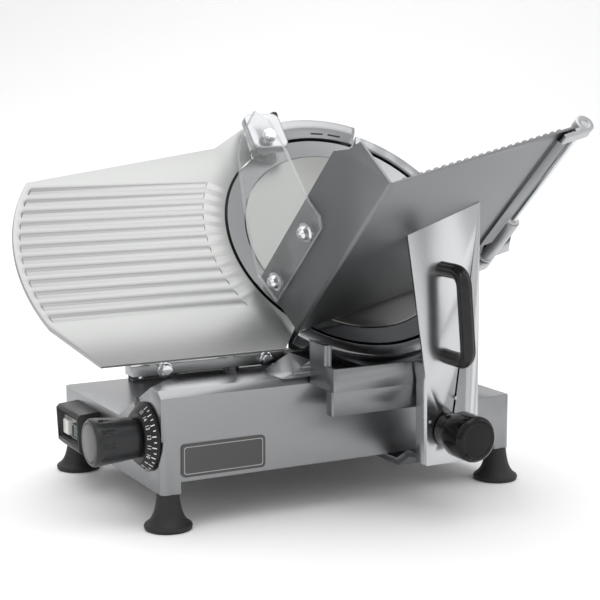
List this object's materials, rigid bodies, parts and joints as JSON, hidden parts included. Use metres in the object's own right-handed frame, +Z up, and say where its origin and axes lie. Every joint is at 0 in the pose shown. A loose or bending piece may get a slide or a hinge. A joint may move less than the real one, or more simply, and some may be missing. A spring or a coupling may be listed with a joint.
{
  "type": "deli meat slicer",
  "caption": "Gravity-feed food slicer with a leaning round blade, sliding V-shaped tray, fluted gauge plate, dial and raised base.",
  "frame": {"origin": "centre of the bottom of the whole object's box, on the floor plane", "axes": "+Z up, +X to the right along the front with the dial at the left, +Y from the front to the back"},
  "size_m": [0.6128, 0.5132, 0.4534],
  "materials": {
    "housing": "satin anodised",
    "sheet_steel": "brushed",
    "tray_sheet": "matt anodised",
    "gauge_sheet": "satin anodised",
    "blade_steel": "polished",
    "cover_sheet": "satin",
    "ring_cast": "satin",
    "polished_cast": "polished",
    "steel_parts": "ground",
    "bronze": "plain",
    "motor_paint": "paint",
    "black_plastic": "moulded",
    "panel_plastic": "moulded",
    "green_plastic": "moulded",
    "light_plastic": "moulded",
    "clear_plastic": "clear acrylic",
    "rubber": "matt",
    "stone": "abrasive",
    "plate_dark": "enamel"
  },
  "bodies": {
    "base": {"base_housing": "housing", "foot_front_left": "rubber", "foot_front_right": "rubber", "foot_rear_left": "rubber", "foot_rear_right": "rubber", "name_plate": "plate_dark", "rear_wall": "sheet_steel", "blade_cover": "cover_sheet", "blade_head": "housing", "pulley_cover": "housing", "blade_spindle": "steel_parts", "spindle_bearings": "steel_parts", "ring_guard": "ring_cast", "sharpener_hood": "ring_cast", "sharpener_body": "polished_cast", "head_skirt": "housing", "motor_housing": "housing", "motor": "motor_paint", "drive_belt": "rubber", "gauge_rod": "steel_parts", "switch_housing": "black_plastic", "switch_panel": "panel_plastic", "cable_gland": "black_plastic", "slide_rod": "steel_parts", "guide_rail": "steel_parts", "rod_brackets": "steel_parts"},
    "blade_rotor": {"blade": "blade_steel", "blade_pulley": "steel_parts", "blade_screws": "steel_parts"},
    "motor_rotor": {"motor_pulley": "steel_parts"},
    "tie_rod": {"cover_tie_rod": "black_plastic"},
    "hood_clamp": {"hood_knob": "black_plastic"},
    "gauge": {"gauge_plate": "gauge_sheet", "gauge_bracket": "steel_parts", "gauge_bolts": "steel_parts", "gauge_post": "steel_parts", "gauge_slider": "steel_parts"},
    "dial": {"dial_ring": "black_plastic", "dial_knob": "black_plastic", "dial_shaft": "steel_parts", "scroll_cam": "steel_parts"},
    "start": {"start_button": "green_plastic"},
    "stop": {"stop_button": "light_plastic"},
    "deburrer": {"deburr_stone": "stone"},
    "grinder": {"grinding_stone": "stone"},
    "carriage": {"slide_block": "steel_parts", "slide_bushes": "bronze", "arm_foot": "steel_parts", "carriage_arm": "sheet_steel", "tray": "tray_sheet", "clear_guard": "clear_plastic", "guard_nuts": "steel_parts", "carriage_handle": "black_plastic", "pusher_rod": "steel_parts", "pusher_rod_brackets": "polished_cast"},
    "clamp": {"clamp_knob": "black_plastic"},
    "pusher_slide": {"pusher_bush": "black_plastic"},
    "pusher": {"pusher_arm": "polished_cast", "pusher_plate": "black_plastic", "pusher_grip": "black_plastic"}
  },
  "joints": [
    {"name": "blade_spin", "type": "hinge", "parent": "base", "child": "blade_rotor", "pos_m": [0.10544, 0.03307, 0.296], "axis": [0, -0.742, 0.6704], "continuous": true},
    {"name": "motor_spin", "type": "hinge", "parent": "base", "child": "motor_rotor", "pos_m": [0.17544, 0.07094, 0.27526], "axis": [0, -0.742, 0.6704], "continuous": true},
    {"name": "tie_rod_turn", "type": "hinge", "parent": "base", "child": "tie_rod", "pos_m": [0.10544, 0.07017, 0.26248], "axis": [0, 0.742, -0.6704], "range_deg": [-1080, 0]},
    {"name": "hood_knob_turn", "type": "hinge", "parent": "base", "child": "hood_clamp", "pos_m": [0.07244, 0.15226, 0.4309], "axis": [0, 0.6704, 0.742], "range_deg": [0, 720]},
    {"name": "gauge_slide", "type": "slide", "parent": "base", "child": "gauge", "axis": [0, 1, 0], "range_m": [0, 0.02]},
    {"name": "dial_turn", "type": "hinge", "parent": "base", "child": "dial", "pos_m": [-0.18266, -0.03293, 0.099], "axis": [-1, 0, 0], "range_deg": [0, 300]},
    {"name": "start_press", "type": "slide", "parent": "base", "child": "start", "axis": [1, 0, 0], "range_m": [0, 0.003], "stiffness_N_per_m": 600},
    {"name": "stop_press", "type": "slide", "parent": "base", "child": "stop", "axis": [1, 0, 0], "range_m": [0, 0.003], "stiffness_N_per_m": 600},
    {"name": "deburr_press", "type": "slide", "parent": "base", "child": "deburrer", "axis": [0, 0.742, -0.6704], "range_m": [0, 0.003], "stiffness_N_per_m": 800},
    {"name": "grind_press", "type": "slide", "parent": "base", "child": "grinder", "axis": [0, -0.742, 0.6704], "range_m": [0, 0.003], "stiffness_N_per_m": 800},
    {"name": "carriage_slide", "type": "slide", "parent": "base", "child": "carriage", "axis": [1, 0, 0], "range_m": [-0.24, 0.06]},
    {"name": "clamp_turn", "type": "hinge", "parent": "carriage", "child": "clamp", "pos_m": [0.13284, -0.15343, 0.0965], "axis": [0, 1, 0], "range_deg": [-720, 0]},
    {"name": "pusher_travel", "type": "slide", "parent": "carriage", "child": "pusher_slide", "axis": [0, -0.742, 0.6704], "range_m": [0, 0.16]},
    {"name": "pusher_swing", "type": "hinge", "parent": "pusher_slide", "child": "pusher", "pos_m": [0.27167, -0.04063, 0.28901], "axis": [0, 0.742, -0.6704], "range_deg": [0, 110]}
  ],
  "couplings": [
    {"joint": "motor_spin", "follows": "blade_spin", "ratio": 2.625},
    {"joint": "dial_turn", "follows": "gauge_slide", "rad_per_m": 261.8}
  ]
}
